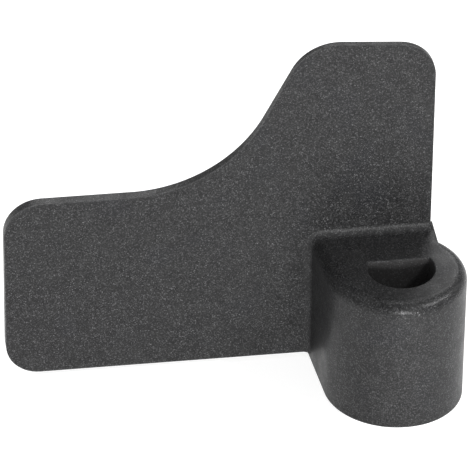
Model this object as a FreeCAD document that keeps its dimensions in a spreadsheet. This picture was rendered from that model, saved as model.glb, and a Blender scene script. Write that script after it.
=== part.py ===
import FreeCAD, Part
import math
import os
from collections.abc import Callable
from dataclasses import dataclass

import Sketcher

# Kneading paddle of a bread maker. A round hub with a D-shaped drive bore stands in front of a flat
# blade, which has a low wing on one side and a tall fin over the hub. The aluminium casting carries a
# non-stick coating on every face but the underside of the hub, which is faced bare.
# Axes: Z up along the bore, X along the blade with the wing towards -X, Y from the hub through the
# blade. The origin is on the bore axis, in the plane of the hub's underside.

# Finished sizes of the coated paddle, in millimetres and degrees.
SIZES: dict[str, float] = {
    "coat": 0.05,              # thickness of the non-stick coating
    "bore_radius": 4.1,        # round part of the D bore, for a shaft of 8 mm
    "bore_flat": 1.7,          # flat of the D bore, from the axis towards the blade
    "mouth_round": 0.2,        # edge of the bore in the top of the hub
    "hub_radius": 8.12,        # round front of the hub
    "hub_height": 18.3,
    "hub_rim_round": 1.5,
    "cheek_left": 0.15,        # the hub's fuller left cheek has its centre this far left of the axis
    "cheek_back": 0.85,        # and this far behind it
    "cheek_flare": 5.4,        # angle by which the left wall opens towards the blade
    "neck_reach": 5.4,         # right wall of the hub behind its round front, from the axis
    "blade_middle": 8.7,       # middle plane of the blade, behind the axis
    "blade_root": 2.22,        # thickness of the blade in the plane of the underside
    "blade_draft": 0.83,       # lean of each face of the blade
    "blade_lift": 0.8,         # lower edge of the blade above the underside
    "back_edge_round": 0.3,    # edges of the blade's back face
    "root_round": 1.0,         # hollow round where the hub meets the blade
    "wing_reach": 47.8,        # left end of the blade, from the axis
    "wing_height": 25.95,
    "wing_corner": 4.7,        # upper corner of the wing's end
    "foot_corner": 4.2,        # lower corner of the wing's end
    "sweep_start": 32.0,       # the wing starts to sweep up this far left of the axis
    "sweep_radius": 18.0,
    "fin_height": 46.05,
    "fin_reach": 4.97,         # right edge of the fin, from the axis
    "fin_left_round": 6.2,
    "fin_left_centre": 7.0,    # centre of that round, left of the axis
    "fin_right_round": 4.7,
    "fin_fall": 0.55,          # drop of the fin's top towards its right corner
    "spare": 3.0,              # stock beyond the finished faces, cut off again
}

START, END, CENTRE = 1, 2, 3       # points of a line or an arc in a sketch
ORIGIN = (-1, START)               # the sketch's own origin
CLOSE = 1e-3                       # an edge this near a plane lies in it, in millimetres
UP = FreeCAD.Vector(0, 0, 1)

Point = tuple[float, float]


@dataclass(frozen=True)
class Size:
    """A length or an angle: its number now, and the formula that follows the sheet."""
    number: float
    formula: str

    def __add__(self, other: "Size") -> "Size":
        return Size(self.number + other.number, f"({self.formula} + {other.formula})")

    def __sub__(self, other: "Size") -> "Size":
        return Size(self.number - other.number, f"({self.formula} - {other.formula})")

    def __mul__(self, factor: float) -> "Size":
        return Size(self.number * factor, f"({self.formula} * {factor})")

    def __neg__(self) -> "Size":
        return self * -1

    def rise(self, angle: "Size") -> "Size":
        """How far a face that leans by the angle moves over this length."""
        slope = math.tan(math.radians(angle.number))
        return Size(self.number * slope, f"({self.formula} * tan({angle.formula} * 1 deg))")


def size(name: str) -> Size:
    """A size from the sheet."""
    return Size(SIZES[name], f"Sizes.{name}")


SPARE = size("spare")
HUB_BACK = size("blade_middle") + size("blade_root") * 0.25      # inside the blade


def make_sheet(doc: FreeCAD.Document) -> None:
    """Put every size in the sheet, under its own name."""
    sheet = doc.addObject("Spreadsheet::Sheet", "Sizes")
    for row, (name, value) in enumerate(SIZES.items(), start=1):
        sheet.set(f"A{row}", name)
        sheet.set(f"B{row}", str(value))
        sheet.setAlias(f"B{row}", name)
    doc.recompute()


class Plan:
    """A sketch on one of the body's origin planes, drawn roughly and then held by its sizes."""

    def __init__(self, body: Part.Feature, plane: str, name: str) -> None:
        self.sketch = body.newObject("Sketcher::SketchObject", name)
        support = next(item for item in body.Origin.OriginFeatures if item.Role == plane)
        self.sketch.AttachmentSupport = [(support, "")]
        self.sketch.MapMode = "FlatFace"

    def line(self, start: Point, end: Point) -> int:
        return self.sketch.addGeometry(
            Part.LineSegment(FreeCAD.Vector(*start, 0), FreeCAD.Vector(*end, 0)))

    def arc(self, centre: Point, radius: float, first: float, last: float) -> int:
        """An arc, counter-clockwise between two rough angles in degrees."""
        circle = Part.Circle(FreeCAD.Vector(*centre, 0), UP, radius)
        return self.sketch.addGeometry(
            Part.ArcOfCircle(circle, math.radians(first), math.radians(last)))

    def fix(self, kind: str, *places: int) -> None:
        """Add a constraint that has no size."""
        self.sketch.addConstraint(Sketcher.Constraint(kind, *places))

    def hold(self, kind: str, *places: int, by: Size) -> None:
        """Add a constraint whose size follows the sheet."""
        turn = kind == "Angle"
        value = math.radians(by.number) if turn else by.number
        index = self.sketch.addConstraint(Sketcher.Constraint(kind, *places, value))
        self.sketch.setExpression(f"Constraints[{index}]", f"{by.formula} * 1 deg" if turn else by.formula)

    def place(self, shape: int, spot: int, across: Size | None = None, along: Size | None = None) -> None:
        """Hold a point at its distances from the sketch's origin."""
        for kind, distance in (("DistanceX", across), ("DistanceY", along)):
            if distance is not None:
                self.hold(kind, *ORIGIN, shape, spot, by=distance)

    def box(self, left: Size, right: Size, low: Size, high: Size) -> None:
        """A rectangle between four distances from the origin."""
        corners = [(left, low), (right, low), (right, high), (left, high)]
        points = [(across.number, along.number) for across, along in corners]
        sides = [self.line(points[i], points[(i + 1) % 4]) for i in range(4)]
        for i, side in enumerate(sides):
            self.fix("Coincident", side, END, sides[(i + 1) % 4], START)
            self.place(side, START, *corners[i])


# --- which edges are rounded --------------------------------------------------------------------

def round_edges(body: Part.Feature, name: str, wanted: Callable[[list[FreeCAD.Vector]], bool],
                radius: Size) -> None:
    """Round the edges of the body as it is now whose start, middle and end pass the test."""
    body.Document.recompute()
    base = body.Tip
    names = []
    for index, edge in enumerate(base.Shape.Edges, start=1):
        first, last = edge.FirstParameter, edge.LastParameter
        if wanted([edge.valueAt(spot) for spot in (first, (first + last) / 2, last)]):
            names.append(f"Edge{index}")
    if not names:
        raise RuntimeError(f"{name}: no edge to round")
    fillet = body.newObject("PartDesign::Fillet", name)
    fillet.Base = (base, names)
    fillet.setExpression("Radius", radius.formula)
    body.Document.recompute()
    if "Invalid" in fillet.State or fillet.Shape.isNull() or not fillet.Shape.isValid():
        raise RuntimeError(f"{name}: the rounding failed")


# --- the paddle ---------------------------------------------------------------------------------

class Paddle:
    """The paddle's form, inset by some thickness from every finished face but the underside.

    Inset by nothing it is the coated paddle, and inset by the coat it is the bare casting.
    """

    def __init__(self, doc: FreeCAD.Document, label: str, inset: Size) -> None:
        self.inset = inset
        self.hub_top = size("hub_height") - inset
        self.body = doc.addObject("PartDesign::Body", label)
        self.body.Label = label
        self.add_blade()
        self.add_hub()
        self.cut_underside()
        self.cut_bore()
        doc.recompute()

    def feature(self, kind: str, name: str, plan: Plan) -> Part.Feature:
        """A pad or a pocket of a sketch."""
        feature = self.body.newObject(f"PartDesign::{kind}", name)
        feature.Profile = plan.sketch
        return feature

    def cut_through(self, name: str, plan: Plan) -> None:
        """Cut a sketch right through the body, both ways."""
        pocket = self.feature("Pocket", name, plan)
        pocket.Type = "ThroughAll"
        pocket.Midplane = True

    def on_blade(self, point: FreeCAD.Vector, side: int) -> bool:
        """Whether a point lies on the blade's front face, side -1, or its back face, side 1."""
        half = (size("blade_root") * 0.5 - self.inset).number
        lean = math.tan(math.radians(SIZES["blade_draft"]))
        return abs(point.y - SIZES["blade_middle"] - side * (half - point.z * lean)) < CLOSE

    def add_blade(self) -> None:
        """A long bar that thins towards its top, cut to the blade's outline, its back edges eased."""
        bar = self.feature("Pad", "blade_bar", self.blade_section())
        bar.Midplane = True
        bar.setExpression("Length", (size("wing_reach") * 2 + SPARE).formula)
        self.cut_through("blade_cut", self.blade_outline())
        round_edges(self.body, "blade_back_edges",
                    lambda points: all(self.on_blade(p, 1) for p in points),
                    size("back_edge_round") - self.inset)

    def blade_section(self) -> Plan:
        """Cross-section of the bar, in Y and Z."""
        plan = Plan(self.body, "YZ_Plane", "blade_section")
        thick = size("blade_root") - self.inset * 2
        front = size("blade_middle") - thick * 0.5
        top = size("fin_height") + SPARE * 0.5
        lean = top.rise(size("blade_draft")).number
        corners = [(front.number, 0.0), ((front + thick).number, 0.0),
                   ((front + thick).number - lean, top.number), (front.number + lean, top.number)]
        foot, back, crest, face = sides = [plan.line(corners[i], corners[(i + 1) % 4]) for i in range(4)]
        for i, side in enumerate(sides):
            plan.fix("Coincident", side, END, sides[(i + 1) % 4], START)
        plan.fix("Horizontal", foot)
        plan.fix("Horizontal", crest)
        plan.fix("PointOnObject", foot, START, -1)
        plan.place(foot, START, across=front)
        plan.hold("DistanceX", foot, START, foot, END, by=thick)
        plan.place(crest, START, along=top)
        plan.hold("Angle", back, by=size("blade_draft") + Size(90, "90"))
        plan.hold("Angle", face, by=-(size("blade_draft") + Size(90, "90")))
        return plan

    def blade_outline(self) -> Plan:
        """All that is cut off round the blade's outline, in X and Z."""
        plan = Plan(self.body, "XZ_Plane", "blade_outline")
        inset, corner, toe = self.inset, size("wing_corner"), size("foot_corner")
        low_x, low_z = toe - size("wing_reach"), size("blade_lift") + toe
        high_x, high_z = corner - size("wing_reach"), size("wing_height") - corner
        right_x = size("fin_reach") - size("fin_right_round")
        right_z = size("fin_height") - size("fin_fall") - size("fin_right_round")
        left_z = size("fin_height") - size("fin_left_round")
        sweep_z = size("wing_height") + size("sweep_radius")

        def arc(across: Size, along: Size, radius: Size, first: float, last: float) -> int:
            index = plan.arc((across.number, along.number), radius.number, first, last)
            plan.hold("Radius", index, by=radius)
            return index

        low = arc(low_x, low_z, toe - inset, 180, 270)
        right = arc(right_x, right_z, size("fin_right_round") - inset, 0, 86)
        left = arc(-size("fin_left_centre"), left_z, size("fin_left_round") - inset, 86, 152)
        sweep = arc(-size("sweep_start"), sweep_z, size("sweep_radius") + inset, 270, 332)
        high = arc(high_x, high_z, corner - inset, 90, 180)

        def line(first: tuple[int, int], last: tuple[int, int]) -> int:
            """A line that runs smoothly from the end of one arc to the end of another."""
            ends = [plan.sketch.getPoint(*spot) for spot in (first, last)]
            index = plan.line((ends[0].x, ends[0].y), (ends[1].x, ends[1].y))
            plan.fix("Tangent", *first, index, START)
            plan.fix("Tangent", *last, index, END)
            return index

        line((right, END), (left, START))
        line((left, END), (sweep, END))
        wing = line((sweep, START), (high, START))
        tip = line((high, END), (low, START))
        corner_point = (SIZES["fin_reach"], SIZES["blade_lift"])
        foot = plan.line((low_x.number, SIZES["blade_lift"]), corner_point)
        side = plan.line(corner_point, (SIZES["fin_reach"], right_z.number))
        plan.fix("Tangent", low, END, foot, START)
        plan.fix("Coincident", foot, END, side, START)
        plan.fix("Tangent", right, START, side, END)
        for level in (foot, wing):
            plan.fix("Horizontal", level)
        for upright in (side, tip):
            plan.fix("Vertical", upright)
        plan.place(foot, START, along=size("blade_lift") + inset)
        plan.place(side, START, across=size("fin_reach") - inset)
        plan.place(wing, START, along=size("wing_height") - inset)
        plan.place(tip, START, across=inset - size("wing_reach"))
        plan.place(right, CENTRE, along=right_z)
        plan.place(left, CENTRE, across=-size("fin_left_centre"), along=left_z)
        plan.place(sweep, CENTRE, across=-size("sweep_start"))
        plan.box(-(size("wing_reach") + SPARE), size("wing_reach") + SPARE,
                 -SPARE, size("fin_height") + SPARE)
        return plan

    def add_hub(self) -> None:
        """The hub, with spare stock below, rounded at its rim and blended into the blade."""
        hub = self.feature("Pad", "hub", self.hub_plan())
        hub.setExpression("Length", (self.hub_top + SPARE).formula)
        top = self.hub_top.number
        neck = (size("neck_reach") - self.inset).number

        def on_rim(points: list[FreeCAD.Vector]) -> bool:
            middle = points[1]
            in_front = middle.y < (size("blade_middle") - size("blade_root") * 0.5).number
            return (all(abs(p.z - top) < CLOSE for p in points) and in_front
                    and abs(middle.x - neck) > CLOSE)

        def on_root(points: list[FreeCAD.Vector]) -> bool:
            middle = points[1]
            right_of_tip = middle.x > (size("wing_corner") - size("wing_reach")).number
            above_foot = middle.z > size("blade_lift").number + self.inset.number + CLOSE
            return (all(self.on_blade(p, -1) and p.z < top + CLOSE for p in points)
                    and right_of_tip and above_foot)

        round_edges(self.body, "hub_rim", on_rim, size("hub_rim_round") - self.inset)
        round_edges(self.body, "hub_root", on_root, size("root_round") + self.inset)

    def hub_plan(self) -> Plan:
        """The hub's outline at the foot of its spare stock, in X and Y."""
        plan = Plan(self.body, "XY_Plane", "hub_plan")
        plan.sketch.setExpression("AttachmentOffset.Base.z", (-SPARE).formula)
        radius = size("hub_radius") - self.inset
        cheek_radius = radius.number + math.hypot(SIZES["cheek_left"], SIZES["cheek_back"])
        cheek = plan.arc((-SIZES["cheek_left"], SIZES["cheek_back"]), cheek_radius, 185, 280)
        front = plan.arc((0, 0), radius.number, -80, 48)
        neck_x = (size("neck_reach") - self.inset).number
        back_y = (HUB_BACK - self.inset).number
        shoulder, hip = (plan.sketch.getPoint(*spot) for spot in ((front, END), (cheek, START)))
        neck = plan.line((neck_x, shoulder.y), (neck_x, back_y))
        back = plan.line((neck_x, back_y), (hip.x, back_y))
        wall = plan.line((hip.x, back_y), (hip.x, hip.y))
        plan.fix("Coincident", front, CENTRE, *ORIGIN)
        plan.fix("Tangent", cheek, END, front, START)
        plan.fix("Coincident", front, END, neck, START)
        plan.fix("Coincident", neck, END, back, START)
        plan.fix("Coincident", back, END, wall, START)
        plan.fix("Tangent", cheek, START, wall, END)
        plan.fix("Vertical", neck)
        plan.fix("Horizontal", back)
        plan.hold("Radius", front, by=radius)
        plan.place(cheek, CENTRE, across=-size("cheek_left"), along=size("cheek_back"))
        plan.place(neck, END, across=size("neck_reach") - self.inset, along=HUB_BACK - self.inset)
        plan.hold("Angle", wall, by=size("cheek_flare") - Size(90, "90"))
        return plan

    def cut_underside(self) -> None:
        """Face the hub off level with the origin."""
        plan = Plan(self.body, "XY_Plane", "underside")
        half = size("wing_reach") + SPARE
        plan.box(-half, half, -half, half)
        pocket = self.feature("Pocket", "underside_cut", plan)
        pocket.setExpression("Length", (SPARE * 2).formula)

    def cut_bore(self) -> None:
        """The D bore, right through the hub, with its upper edge eased."""
        plan = Plan(self.body, "XY_Plane", "bore_plan")
        radius, flat = size("bore_radius") + self.inset, size("bore_flat") + self.inset
        half = math.sqrt(radius.number ** 2 - flat.number ** 2)
        turn = math.degrees(math.asin(flat.number / radius.number))
        arc = plan.arc((0, 0), radius.number, 180 - turn, 360 + turn)
        line = plan.line((half, flat.number), (-half, flat.number))
        plan.fix("Coincident", arc, CENTRE, *ORIGIN)
        plan.fix("Coincident", arc, END, line, START)
        plan.fix("Coincident", line, END, arc, START)
        plan.fix("Horizontal", line)
        plan.hold("Radius", arc, by=radius)
        plan.place(line, START, along=flat)
        self.cut_through("bore", plan)
        top, reach = self.hub_top.number, radius.number + CLOSE
        round_edges(self.body, "bore_mouth",
                    lambda points: all(abs(p.z - top) < CLOSE and math.hypot(p.x, p.y) < reach
                                       for p in points),
                    size("mouth_round") - self.inset)


# --- the sub-parts ------------------------------------------------------------------------------

def write_parts(doc: FreeCAD.Document, parts: list[Part.Feature]) -> None:
    """Check every object and shape, then write one STEP file for each sub-part."""
    doc.recompute()
    for item in doc.Objects:
        if "Invalid" in item.State or "Error" in item.State:
            raise RuntimeError(f"{item.Label}: {item.State}")
    os.makedirs("parts", exist_ok=True)
    for part in parts:
        if part.Shape.isNull() or not part.Shape.isValid() or len(part.Shape.Solids) != 1:
            raise RuntimeError(f"{part.Label}: not one valid solid")
        part.Shape.exportStep(f"parts/{part.Label}.step")
        print(part.Label, "volume", round(part.Shape.Volume, 2), part.Shape.BoundBox)


def main() -> None:
    doc = FreeCAD.newDocument("kneading_paddle")
    make_sheet(doc)
    coated = Paddle(doc, "coated_form", size("coat") * 0)
    casting = Paddle(doc, "cast_body", size("coat"))
    coating = doc.addObject("Part::Cut", "nonstick_coating")
    coating.Base = coated.body
    coating.Tool = casting.body
    write_parts(doc, [casting.body, coating])


main()
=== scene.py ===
"""Looks of a bread-maker kneading paddle: a die-cast body under a dark, flecked non-stick coat."""

import logging
import math
from dataclasses import dataclass, field
from enum import Enum

import bmesh
import bpy
from mathutils import Matrix, Vector


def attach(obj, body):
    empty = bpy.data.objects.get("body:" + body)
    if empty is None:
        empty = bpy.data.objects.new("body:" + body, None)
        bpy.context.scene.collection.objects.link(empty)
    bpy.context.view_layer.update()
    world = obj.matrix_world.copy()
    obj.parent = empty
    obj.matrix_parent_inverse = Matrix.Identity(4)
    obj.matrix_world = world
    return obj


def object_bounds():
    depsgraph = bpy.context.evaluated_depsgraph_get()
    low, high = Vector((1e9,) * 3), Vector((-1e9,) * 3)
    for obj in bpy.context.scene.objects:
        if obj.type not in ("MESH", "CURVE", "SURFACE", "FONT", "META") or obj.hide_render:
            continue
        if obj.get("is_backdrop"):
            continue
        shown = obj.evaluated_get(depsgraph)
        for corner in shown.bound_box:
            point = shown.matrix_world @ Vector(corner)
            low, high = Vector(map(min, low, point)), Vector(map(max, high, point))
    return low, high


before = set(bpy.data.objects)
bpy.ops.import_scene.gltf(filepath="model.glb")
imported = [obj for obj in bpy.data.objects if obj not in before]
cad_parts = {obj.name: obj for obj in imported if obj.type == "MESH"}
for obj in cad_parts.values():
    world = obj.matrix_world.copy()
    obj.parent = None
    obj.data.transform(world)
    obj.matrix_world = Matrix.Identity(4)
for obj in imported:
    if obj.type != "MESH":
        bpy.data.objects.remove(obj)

MM = 0.001
PER_METRE = 1000.0
BODY = "root"
BEVEL_SAMPLES = 8

log = logging.getLogger("paddle")


class Slot(Enum):
    """The record's material slots that the pieces made here use."""

    NONSTICK = "nonstick"


class Node(Enum):
    """The CAD nodes of the paddle."""

    COATING = "nonstick_coating"
    CASTING = "cast_body"


class Graph:
    """A material's or world's node tree, with short calls to add and join nodes."""

    def __init__(self, tree: bpy.types.NodeTree) -> None:
        """Take over a tree and clear it.

        Args:
            tree: The node tree to build in.
        """
        self.tree = tree
        tree.nodes.clear()

    def add(self, kind: str, **inputs: object) -> bpy.types.Node:
        """Add a node and fill its inputs.

        Args:
            kind: The node's type name.
            inputs: Values or sockets by input name, with _ for a space.

        Returns:
            The new node.
        """
        node = self.tree.nodes.new(kind)
        for name, value in inputs.items():
            self.feed(node.inputs[name.replace("_", " ")], value)
        return node

    def feed(self, socket: bpy.types.NodeSocket, value: object) -> None:
        """Give a socket a value, or join another socket to it.

        Args:
            socket: The input to fill.
            value: A number, a colour, a vector or an output socket.
        """
        if isinstance(value, bpy.types.NodeSocket):
            self.tree.links.new(value, socket)
        else:
            socket.default_value = value

    def maths(self, operation: str, *values: object, clamp: bool = False) -> bpy.types.NodeSocket:
        """Add a Math node.

        Args:
            operation: The operation's name.
            values: Numbers or sockets, in order.
            clamp: Whether the result is kept between 0 and 1.

        Returns:
            The result's socket.
        """
        node = self.tree.nodes.new("ShaderNodeMath")
        node.operation = operation
        node.use_clamp = clamp
        for socket, value in zip(node.inputs, values):
            self.feed(socket, value)
        return node.outputs[0]

    def vector(self, operation: str, *values: object) -> bpy.types.Node:
        """Add a Vector Math node.

        Args:
            operation: The operation's name.
            values: Vectors or sockets, in order.

        Returns:
            The node, whose output depends on the operation.
        """
        node = self.tree.nodes.new("ShaderNodeVectorMath")
        node.operation = operation
        for socket, value in zip(node.inputs, values):
            self.feed(socket, value)
        return node

    def scaled(self, vector: bpy.types.NodeSocket, factor: object) -> bpy.types.NodeSocket:
        """Scale a vector.

        Args:
            vector: The vector's socket.
            factor: A number or a socket.

        Returns:
            The scaled vector's socket.
        """
        node = self.vector("SCALE", vector)
        self.feed(node.inputs["Scale"], factor)
        return node.outputs[0]

    def band(self, value: bpy.types.NodeSocket, low: float, high: float,
             out_low: float = 0.0, out_high: float = 1.0) -> bpy.types.NodeSocket:
        """Map a value smoothly from one range to another, clamped at both ends.

        Args:
            value: The value's socket.
            low: The start of the input range.
            high: The end of the input range.
            out_low: The result at the start.
            out_high: The result at the end.

        Returns:
            The mapped value's socket.
        """
        node = self.add("ShaderNodeMapRange", Value=value, From_Min=low, From_Max=high,
                        To_Min=out_low, To_Max=out_high)
        node.interpolation_type = "SMOOTHSTEP"
        return node.outputs[0]

    def mixed(self, share: object, first: object, second: object) -> bpy.types.NodeSocket:
        """Mix two colours.

        Args:
            share: How much of the second colour shows.
            first: A colour or a socket.
            second: A colour or a socket.

        Returns:
            The mixed colour's socket.
        """
        node = self.tree.nodes.new("ShaderNodeMix")
        node.data_type = "RGBA"
        self.feed(node.inputs["Factor"], share)
        self.feed(node.inputs[6], first)
        self.feed(node.inputs[7], second)
        return node.outputs[2]

    def place_mm(self) -> bpy.types.NodeSocket:
        """Return the surface's place on the object, in millimetres."""
        coordinates = self.tree.nodes.new("ShaderNodeTexCoord")
        return self.scaled(coordinates.outputs["Object"], PER_METRE)

    def radius(self, place: bpy.types.NodeSocket) -> bpy.types.NodeSocket:
        """Measure how far a place is from the hub's axis.

        Args:
            place: The place in millimetres.

        Returns:
            The distance's socket, in millimetres.
        """
        flat = self.vector("MULTIPLY", place, (1.0, 1.0, 0.0)).outputs[0]
        return self.vector("LENGTH", flat).outputs["Value"]

    def noise(self, place: bpy.types.NodeSocket, size: float, detail: float = 2.0,
              roughness: float = 0.5) -> bpy.types.NodeSocket:
        """Add a noise pattern.

        Args:
            place: The place in millimetres.
            size: The width of its largest features in millimetres.
            detail: How many finer layers it has.
            roughness: How strong each finer layer is.

        Returns:
            The pattern's value, about 0.5 on average.
        """
        node = self.add("ShaderNodeTexNoise", Vector=place, Scale=1.0 / size,
                        Detail=detail, Roughness=roughness)
        return node.outputs[0]

    def edge_mask(self, radius: float, low: float, high: float) -> bpy.types.NodeSocket:
        """Find outer and inner corners, where a rounded normal leaves the true one.

        Args:
            radius: How far from the corner the mask reaches, in metres.
            low: The turn, as one less its cosine, where the mask starts.
            high: The turn where the mask is full.

        Returns:
            The mask's value, 1 at a corner.
        """
        rounded = self.add("ShaderNodeBevel", Radius=radius)
        rounded.samples = BEVEL_SAMPLES
        true = self.tree.nodes.new("ShaderNodeNewGeometry").outputs["Normal"]
        agree = self.vector("DOT_PRODUCT", rounded.outputs[0], true).outputs["Value"]
        return self.band(self.maths("SUBTRACT", 1.0, agree), low, high)


@dataclass(frozen=True)
class NonstickFinish:
    """Satin dark grey coating with metal flakes, fine orange peel, corners lightened partly by
    rubbing-through of the coat and partly as a painted highlight, and a painted lighter tone in the bore
    standing in for light.

    Lengths are in millimetres unless they are multiplied by MM. A pair of numbers is a range: where a
    pattern starts and ends, or the least and the most that it gives.
    """

    name: str = "nonstick_flecked"
    dark: tuple[float, float, float, float] = (0.0065, 0.0065, 0.007, 1.0)
    light: tuple[float, float, float, float] = (0.0185, 0.0185, 0.0187, 1.0)
    cool: tuple[float, float, float, float] = (0.012, 0.0125, 0.0145, 1.0)
    flake: tuple[float, float, float, float] = (0.13, 0.13, 0.133, 1.0)
    # Lighter tone for corners: partly thinned coat, partly a painted highlight.
    worn_and_highlight: tuple[float, float, float, float] = (0.14, 0.14, 0.142, 1.0)
    specular: float = 0.20
    metal_share: float = 0.75
    # Painted light: a lighter tone painted on the bore's wall, standing in for light that reaches inside it.
    bore_painted_light: tuple[float, float, float, float] = (0.036, 0.035, 0.035, 1.0)
    bore_radius: float = 4.15
    bore_top: float = 18.25
    bore_side_fade: float = 0.1
    bore_top_fade: float = 0.3
    rim_radius: tuple[float, float] = (6.3, 8.2)
    rim_level: tuple[float, float] = (16.6, 18.4)
    rim_back: float = 4.8
    rim_gloss: float = 0.17
    rim_fade_in: float = 0.7
    rim_fade_out: float = 0.2
    rim_back_fade: float = 1.0
    rim_patch_size: float = 0.45
    rim_patches: tuple[float, float] = (0.34, 0.60)
    rim_least: float = 0.35
    cloud_size: float = 1.6
    cloud_share: float = 0.45
    grain_size: float = 0.16
    grain_share: float = 0.55
    ground_contrast: tuple[float, float] = (0.34, 0.66)
    patch_size: float = 7.0
    patches: tuple[float, float] = (0.52, 0.70)
    patch_share: float = 0.55
    flake_pitch: float = 0.15
    flake_share: float = 0.80
    flake_tilt: float = 0.42
    flake_turn: tuple[float, float, float] = (0.71, 0.43, 1.13)
    flake_reach: tuple[float, float] = (0.16, 0.50)
    flake_strength: tuple[float, float] = (0.15, 0.70)
    powder_size: float = 0.20
    powder_share: float = 0.42
    powder: tuple[float, float] = (0.46, 0.68)
    peel_size: float = 0.30
    peel_depth: float = 0.026
    base_roughness: float = 0.42
    film_size: float = 3.0
    film: tuple[float, float] = (0.3, 0.7)
    film_roughness: tuple[float, float] = (-0.05, 0.06)
    flake_roughness: float = 0.10
    wear_highlight_radius: float = 0.22 * MM
    wear_highlight_turn: tuple[float, float] = (0.02, 0.30)
    wear_highlight_patch_size: float = 0.5
    wear_highlight_patches: tuple[float, float] = (0.35, 0.62)
    wear_highlight_shares: tuple[float, float] = (0.25, 0.85)
    wear_gloss: float = 0.14
    soft_edge: float = 0.25 * MM

    def material(self) -> bpy.types.Material:
        """Build the coating's material.

        Returns:
            The material.
        """
        made = bpy.data.materials.new(self.name)
        made.use_nodes = True
        graph = Graph(made.node_tree)
        place = graph.place_mm()
        mask, tint, tilted = self.flakes(graph, place)
        ground = self.ground(graph, place)
        wear_and_highlight = self.wear_and_highlight(graph, place)
        # Painted light: the bore's wall gets a lighter painted tone in place of light reaching inside.
        colour = graph.mixed(self.painted_bore_light(graph, place), ground, self.bore_painted_light)
        colour = graph.mixed(mask, colour, tint)
        # Corners painted lighter: partly thinned coat, partly a painted highlight on the edges.
        colour = graph.mixed(wear_and_highlight, colour, self.worn_and_highlight)
        peel = graph.noise(place, self.peel_size, detail=3.0, roughness=0.6)
        bump = graph.add("ShaderNodeBump", Strength=1.0, Distance=self.peel_depth * MM,
                         Height=peel, Normal=tilted)
        rough = self.roughness(graph, place, mask, wear_and_highlight)
        polish = graph.maths("MULTIPLY", self.handled(graph, place), self.rim_gloss)
        rough = graph.maths("SUBTRACT", rough, polish)
        metal = graph.maths("MULTIPLY", mask, self.metal_share)
        shader = graph.add("ShaderNodeBsdfPrincipled", Base_Color=colour, Roughness=rough,
                           Metallic=metal, Normal=bump.outputs[0])
        shader.inputs["Specular IOR Level"].default_value = self.specular
        output = graph.add("ShaderNodeOutputMaterial")
        graph.feed(output.inputs["Surface"], shader.outputs[0])
        return made

    def ground(self, graph: Graph, place: bpy.types.NodeSocket) -> bpy.types.NodeSocket:
        """Build the coat's own colour under its flakes.

        Args:
            graph: The material's graph.
            place: The place in millimetres.

        Returns:
            The colour's socket.
        """
        cloud = graph.noise(place, self.cloud_size, detail=4.0, roughness=0.65)
        grain = graph.noise(place, self.grain_size, detail=2.0, roughness=0.6)
        both = graph.maths("ADD", graph.maths("MULTIPLY", cloud, self.cloud_share),
                           graph.maths("MULTIPLY", grain, self.grain_share))
        colour = graph.mixed(graph.band(both, *self.ground_contrast), self.dark, self.light)
        patch = graph.noise(place, self.patch_size, detail=3.0)
        return graph.mixed(graph.band(patch, *self.patches, 0.0, self.patch_share), colour, self.cool)

    def flakes(self, graph: Graph, place: bpy.types.NodeSocket) -> tuple[bpy.types.NodeSocket, ...]:
        """Scatter metal flakes, each with its own size, brightness and tilt.

        The pattern is turned, so that no flat face lies along its cells.

        Args:
            graph: The material's graph.
            place: The place in millimetres.

        Returns:
            Where the flakes are, their colour, and their normals.
        """
        turned = graph.add("ShaderNodeMapping", Vector=place, Rotation=self.flake_turn).outputs[0]
        cells = graph.add("ShaderNodeTexVoronoi", Vector=turned, Scale=1.0 / self.flake_pitch)
        draw = graph.add("ShaderNodeSeparateColor", Color=cells.outputs["Color"])
        chosen = graph.maths("LESS_THAN", draw.outputs[0], self.flake_share)
        reach = graph.band(draw.outputs[1], 0.0, 1.0, *self.flake_reach)
        inside = graph.maths("LESS_THAN", cells.outputs["Distance"], reach)
        mask = graph.maths("MULTIPLY", chosen, inside)
        strength = graph.maths("MULTIPLY", mask, graph.band(draw.outputs[2], 0.0, 1.0, *self.flake_strength))
        powder = graph.noise(turned, self.powder_size, detail=1.0)
        strength = graph.maths("MAXIMUM", strength, graph.band(powder, *self.powder, 0.0, self.powder_share))
        lean = graph.vector("SUBTRACT", cells.outputs["Color"], (0.5, 0.5, 0.5)).outputs[0]
        normal = graph.add("ShaderNodeBevel", Radius=self.soft_edge).outputs[0]
        amount = graph.maths("MULTIPLY", mask, self.flake_tilt)
        tilted = graph.vector("ADD", normal, graph.scaled(lean, amount)).outputs[0]
        tilted = graph.vector("NORMALIZE", tilted).outputs[0]
        tint = graph.mixed(draw.outputs[1], self.light, self.flake)
        return strength, tint, tilted

    def painted_bore_light(self, graph: Graph, place: bpy.types.NodeSocket) -> bpy.types.NodeSocket:
        """Find the wall of the bore, where a lighter tone is painted in as painted light that stands in for
        light reaching inside.

        Args:
            graph: The material's graph.
            place: The place in millimetres.

        Returns:
            1 inside the bore and 0 elsewhere.
        """
        level = graph.add("ShaderNodeSeparateXYZ", Vector=place).outputs[2]
        edge = self.bore_radius + self.bore_side_fade
        within = graph.band(graph.radius(place), self.bore_radius, edge, 1.0, 0.0)
        below = graph.band(level, self.bore_top - self.bore_top_fade, self.bore_top, 1.0, 0.0)
        return graph.maths("MULTIPLY", within, below)

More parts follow.
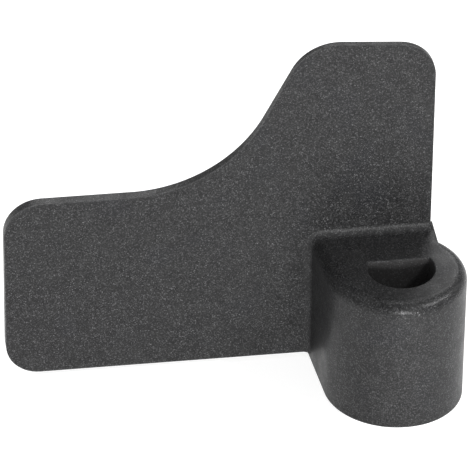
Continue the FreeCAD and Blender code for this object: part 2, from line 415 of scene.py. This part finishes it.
    def handled(self, graph: Graph, place: bpy.types.NodeSocket) -> bpy.types.NodeSocket:
        """Find the front of the hub's rounded rim, which handling has smoothed.

        Args:
            graph: The material's graph.
            place: The place in millimetres.

        Returns:
            How smooth the rim is, 0 to 1.
        """
        radius = graph.radius(place)
        axes = graph.add("ShaderNodeSeparateXYZ", Vector=place).outputs
        (inner, outer), (low, high) = self.rim_radius, self.rim_level
        patches = graph.noise(place, self.rim_patch_size, detail=4.0, roughness=0.7)
        share = graph.band(patches, *self.rim_patches, self.rim_least, 1.0)
        limits = (
            graph.band(radius, inner, inner + self.rim_fade_in),
            graph.band(radius, outer, outer + self.rim_fade_out, 1.0, 0.0),
            graph.band(axes[2], low, low + self.rim_fade_in),
            graph.band(axes[2], high, high + self.rim_fade_out, 1.0, 0.0),
            graph.band(axes[1], self.rim_back, self.rim_back + self.rim_back_fade, 1.0, 0.0),
        )
        for limit in limits:
            share = graph.maths("MULTIPLY", share, limit)
        return share

    def wear_and_highlight(self, graph: Graph, place: bpy.types.NodeSocket) -> bpy.types.NodeSocket:
        """Lighten the coat along its corners: partly rubbing-through of the thin coat, partly a painted
        highlight on the edges.

        Args:
            graph: The material's graph.
            place: The place in millimetres.

        Returns:
            How much the corner is rubbed through and painted lighter as highlight, 0 to 1.
        """
        corner = graph.edge_mask(self.wear_highlight_radius, *self.wear_highlight_turn)
        patches = graph.noise(place, self.wear_highlight_patch_size, detail=4.0, roughness=0.7)
        return graph.maths("MULTIPLY", corner, graph.band(patches, *self.wear_highlight_patches, *self.wear_highlight_shares))

    def roughness(self, graph: Graph, place: bpy.types.NodeSocket, mask: bpy.types.NodeSocket,
                  wear_and_highlight: bpy.types.NodeSocket) -> bpy.types.NodeSocket:
        """Vary the coat's gloss.

        Args:
            graph: The material's graph.
            place: The place in millimetres.
            mask: Where the flakes are.
            wear_and_highlight: How much the corners are rubbed through and painted lighter as highlight.

        Returns:
            The roughness's socket.
        """
        film = graph.noise(place, self.film_size, detail=4.0)
        value = graph.maths("ADD", graph.band(film, *self.film, *self.film_roughness), self.base_roughness)
        value = graph.maths("ADD", value, graph.maths("MULTIPLY", mask, self.flake_roughness))
        return graph.maths("SUBTRACT", value, graph.maths("MULTIPLY", wear_and_highlight, self.wear_gloss), clamp=True)


@dataclass(frozen=True)
class FacedAluminium:
    """Bare die-cast aluminium, faced on a lathe: fine rings round the bore, and pores.

    Lengths are in millimetres, and a pair of numbers is a range.
    """

    name: str = "faced_aluminium"
    bright: tuple[float, float, float, float] = (0.66, 0.66, 0.67, 1.0)
    dull: tuple[float, float, float, float] = (0.40, 0.40, 0.41, 1.0)
    ring_pitch: float = 0.34
    ring_depth: float = 0.004
    ring_share: float = 0.5
    waver_size: float = 2.5
    waver: float = 0.05
    film_size: float = 1.8
    film: tuple[float, float] = (0.30, 0.72)
    pore_pitch: float = 0.9
    pore_rim: tuple[float, float] = (0.06, 0.13)
    gloss_film: tuple[float, float] = (0.3, 0.7)
    gloss: tuple[float, float] = (0.42, 0.27)

    def material(self) -> bpy.types.Material:
        """Build the bare metal's material.

        Returns:
            The material.
        """
        made = bpy.data.materials.new(self.name)
        made.use_nodes = True
        graph = Graph(made.node_tree)
        place = graph.place_mm()
        waver = graph.maths("MULTIPLY", graph.noise(place, self.waver_size), self.waver)
        turn = graph.maths("MULTIPLY", graph.maths("ADD", graph.radius(place), waver),
                           2.0 * math.pi / self.ring_pitch)
        rings = graph.band(graph.maths("SINE", turn), -1.0, 1.0)
        film = graph.noise(place, self.film_size, detail=5.0, roughness=0.65)
        pores = graph.add("ShaderNodeTexVoronoi", Vector=place, Scale=1.0 / self.pore_pitch)
        pits = graph.band(pores.outputs["Distance"], *self.pore_rim)
        tone = graph.maths("MULTIPLY", graph.band(film, *self.film), pits)
        colour = graph.mixed(tone, self.dull, self.bright)
        height = graph.maths("ADD", graph.maths("MULTIPLY", rings, self.ring_share), pits)
        bump = graph.add("ShaderNodeBump", Strength=1.0, Distance=self.ring_depth * MM, Height=height)
        shader = graph.add("ShaderNodeBsdfPrincipled", Base_Color=colour, Metallic=1.0,
                           Roughness=graph.band(film, *self.gloss_film, *self.gloss),
                           Normal=bump.outputs[0])
        output = graph.add("ShaderNodeOutputMaterial")
        graph.feed(output.inputs["Surface"], shader.outputs[0])
        return made


@dataclass(frozen=True)
class FloorPaper:
    """Matt white paper with a faint tooth."""

    name: str = "white_paper"
    white: tuple[float, float, float, float] = (0.52, 0.52, 0.52, 1.0)
    shade: tuple[float, float, float, float] = (0.50, 0.50, 0.502, 1.0)
    tooth_size: float = 0.8
    glow: float = 0.80
    roughness: float = 0.95
    specular: float = 0.1

    def material(self) -> bpy.types.Material:
        """Build the floor's material.

        Returns:
            The material.
        """
        made = bpy.data.materials.new(self.name)
        made.use_nodes = True
        graph = Graph(made.node_tree)
        tooth = graph.noise(graph.place_mm(), self.tooth_size, detail=4.0)
        colour = graph.mixed(tooth, self.white, self.shade)
        shader = graph.add("ShaderNodeBsdfPrincipled", Base_Color=colour, Roughness=self.roughness,
                           Emission_Color=(1.0, 1.0, 1.0, 1.0), Emission_Strength=self.glow)
        shader.inputs["Specular IOR Level"].default_value = self.specular
        output = graph.add("ShaderNodeOutputMaterial")
        graph.feed(output.inputs["Surface"], shader.outputs[0])
        return made


@dataclass
class Paddle:
    """The cast body and its coat, whose shapes come from the CAD."""

    coat: NonstickFinish = field(default_factory=NonstickFinish)
    metal: FacedAluminium = field(default_factory=FacedAluminium)

    def dress(self) -> bpy.types.Material:
        """Give each CAD node its finish.

        Returns:
            The coat's material.
        """
        coat = self.coat.material()
        self.assign(Node.COATING, coat)
        self.assign(Node.CASTING, self.metal.material())
        return coat

    def assign(self, node: Node, material: bpy.types.Material) -> None:
        """Put a material in every slot of a CAD node's object.

        Args:
            node: The CAD node.
            material: Its finish.
        """
        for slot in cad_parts[node.value].material_slots:
            slot.link = "OBJECT"
            slot.material = material
        log.info("%s wears %s", node.value, material.name)


@dataclass
class CastingBead:
    """The small bead of metal left where the blade's edge meets the top of the neck."""

    name: str = "casting_bead"
    x: float = 5.05 * MM
    y: float = 7.75 * MM
    z: float = 18.55 * MM
    width: float = 0.42 * MM
    height: float = 0.85 * MM
    rings: int = 10
    sides: int = 16
    taper: float = 0.35
    end_size: float = 0.1
    lobes: float = 3.0
    lobe_turn: float = 4.0
    lobe_depth: float = 0.08

    def build(self) -> bpy.types.Object:
        """Build the bead as a drop that narrows upwards.

        Returns:
            The bead's object.
        """
        mesh = bpy.data.meshes.new(self.name)
        shape = bmesh.new()
        rows = [self.ring(shape, step / self.rings) for step in range(self.rings + 1)]
        for low, high in zip(rows, rows[1:]):
            for side in range(self.sides):
                after = (side + 1) % self.sides
                shape.faces.new((low[side], low[after], high[after], high[side]))
        shape.faces.new(list(reversed(rows[0])))
        shape.faces.new(rows[-1])
        shape.to_mesh(mesh)
        shape.free()
        mesh.shade_smooth()
        made = bpy.data.objects.new(self.name, mesh)
        bpy.context.scene.collection.objects.link(made)
        return made

    def ring(self, shape: bmesh.types.BMesh, share: float) -> list[bmesh.types.BMVert]:
        """Add one level ring of the drop.

        Args:
            shape: The mesh being built.
            share: How far up the drop the ring is, 0 to 1.

        Returns:
            The ring's vertices, in order.
        """
        rounded = max(1.0 - (2.0 * share - 1.0) ** 2, self.end_size ** 2)
        swell = math.sqrt(rounded) * (1.0 - self.taper * share)
        level = self.z + (share - 0.5) * self.height
        points = []
        for side in range(self.sides):
            angle = 2.0 * math.pi * side / self.sides
            lobe = self.lobe_depth * math.sin(self.lobes * angle + self.lobe_turn * share)
            reach = 0.5 * self.width * swell * (1.0 + lobe)
            place = (self.x + reach * math.cos(angle), self.y + reach * math.sin(angle), level)
            points.append(shape.verts.new(place))
        return points

    def dress(self, bead: bpy.types.Object, coat: bpy.types.Material) -> None:
        """Coat the bead and fix it to the paddle.

        Args:
            bead: The bead's object.
            coat: The coat's material.
        """
        bead.data.materials.append(coat)
        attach(bead, BODY)
        log.info("%s built with %d faces", bead.name, len(bead.data.polygons))


@dataclass(frozen=True)
class Softbox:
    """A rectangular lamp, placed by its direction from the object."""

    name: str
    azimuth: float
    elevation: float
    distance: float
    width: float
    height: float
    power: float

    def build(self, target: Vector) -> bpy.types.Object:
        """Build the lamp, aimed at a point.

        Args:
            target: The point that it faces.

        Returns:
            The lamp's object.
        """
        lamp = bpy.data.lights.new(self.name, "AREA")
        lamp.shape = "RECTANGLE"
        lamp.size = self.width
        lamp.size_y = self.height
        lamp.energy = self.power
        made = bpy.data.objects.new(self.name, lamp)
        turn, rise = math.radians(self.azimuth), math.radians(self.elevation)
        way = Vector((math.sin(turn) * math.cos(rise), -math.cos(turn) * math.cos(rise), math.sin(rise)))
        made.location = target + way * self.distance
        made.rotation_euler = way.to_track_quat("Z", "Y").to_euler()
        bpy.context.scene.collection.objects.link(made)
        return made


@dataclass(frozen=True)
class FloorPool:
    """A narrow lamp that lights a pool of the floor, which the hub's round front reflects."""

    name: str = "pool_light"
    source: tuple[float, float, float] = (0.05, -0.45, 0.55)
    pool: tuple[float, float, float] = (0.004, -0.034, 0.0)
    spread: float = math.radians(2.9)
    power: float = 56.0
    edge_blend: float = 0.7
    bulb: float = 0.01

    def build(self) -> bpy.types.Object:
        """Build the lamp.

        Returns:
            The lamp's object.
        """
        lamp = bpy.data.lights.new(self.name, "SPOT")
        lamp.energy = self.power
        lamp.spot_size = self.spread
        lamp.spot_blend = self.edge_blend
        lamp.shadow_soft_size = self.bulb
        made = bpy.data.objects.new(self.name, lamp)
        made.location = self.source
        way = Vector(self.source) - Vector(self.pool)
        made.rotation_euler = way.to_track_quat("Z", "Y").to_euler()
        bpy.context.scene.collection.objects.link(made)
        return made


@dataclass
class Viewpoint:
    """A camera that looks at the origin from a long way off, through a long lens."""

    azimuth: float = math.radians(-8.325)
    elevation: float = math.radians(35.667)
    roll: float = math.radians(0.745)
    distance: float = 652.9 * MM
    shift_left: float = 20.06 * MM
    shift_up: float = 18.88 * MM
    lens: float = 403.3
    sensor: float = 36.0
    near_limit: float = 0.01

    def build(self) -> bpy.types.Object:
        """Build the camera and make it the scene's.

        Returns:
            The camera's object.
        """
        data = bpy.data.cameras.new("camera")
        data.lens = self.lens
        data.sensor_fit = "HORIZONTAL"
        data.sensor_width = self.sensor
        data.clip_start = self.near_limit
        made = bpy.data.objects.new("camera", data)
        level = math.cos(self.elevation)
        back = Vector((math.sin(self.azimuth) * level, -math.cos(self.azimuth) * level,
                       math.sin(self.elevation)))
        side = Vector((math.cos(self.azimuth), math.sin(self.azimuth), 0.0))
        top = back.cross(side)
        right = math.cos(self.roll) * side + math.sin(self.roll) * top
        up = math.cos(self.roll) * top - math.sin(self.roll) * side
        axes = Matrix((right, up, back)).transposed().to_4x4()
        made.matrix_world = Matrix.Translation(
            back * self.distance - right * self.shift_left + up * self.shift_up) @ axes
        bpy.context.scene.collection.objects.link(made)
        bpy.context.scene.camera = made
        return made


@dataclass
class Studio:
    """A white paper floor, an even white surround and soft lamps."""

    paper: FloorPaper = field(default_factory=FloorPaper)
    camera: Viewpoint = field(default_factory=Viewpoint)
    pool: FloorPool = field(default_factory=FloorPool)
    floor_half: float = 3.0
    surround: float = 0.50
    lamps: tuple[Softbox, ...] = (
        Softbox("front_light", 2.0, 8.0, 0.60, 0.12, 0.12, 2.8),
        Softbox("key_light", 52.0, 45.0, 0.80, 0.10, 0.10, 2.4),
        Softbox("top_light", 150.0, 72.0, 0.80, 0.16, 0.16, 0.6),
        Softbox("rim_light", 86.0, 42.0, 0.80, 0.10, 0.10, 2.0),
        Softbox("back_light", 172.0, 36.0, 0.90, 0.60, 0.30, 3.0),
    )

    def build(self) -> None:
        """Build the floor, the surround, the lamps and the camera."""
        self.build_floor()
        self.build_surround()
        low, high = (Vector(corner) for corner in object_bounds())
        for lamp in self.lamps:
            lamp.build((low + high) / 2.0)
        self.pool.build()
        self.camera.build()
        settings = bpy.context.scene.view_settings
        settings.view_transform = "Standard"
        settings.look = "None"
        log.info("studio built with %d lamps", len(self.lamps))

    def build_floor(self) -> None:
        """Lay the paper under the paddle."""
        shape = bmesh.new()
        bmesh.ops.create_grid(shape, x_segments=8, y_segments=8, size=self.floor_half)
        mesh = bpy.data.meshes.new("floor")
        shape.to_mesh(mesh)
        shape.free()
        floor = bpy.data.objects.new("floor", mesh)
        bpy.context.scene.collection.objects.link(floor)
        floor.data.materials.append(self.paper.material())
        floor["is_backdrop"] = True

    def build_surround(self) -> None:
        """Light the scene evenly from all round."""
        world = bpy.data.worlds.new("surround")
        world.use_nodes = True
        graph = Graph(world.node_tree)
        light = graph.add("ShaderNodeBackground", Color=(1.0, 1.0, 1.0, 1.0), Strength=self.surround)
        output = graph.add("ShaderNodeOutputWorld")
        graph.feed(output.inputs["Surface"], light.outputs[0])
        bpy.context.scene.world = world


def main() -> None:
    """Dress the paddle, add its bead, and build the studio."""
    logging.basicConfig(level=logging.INFO, format="%(name)s: %(message)s")
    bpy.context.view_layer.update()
    coat = Paddle().dress()
    bead = CastingBead()
    bead.dress(bead.build(), coat)
    Studio().build()


if __name__ == "__main__":
    main()
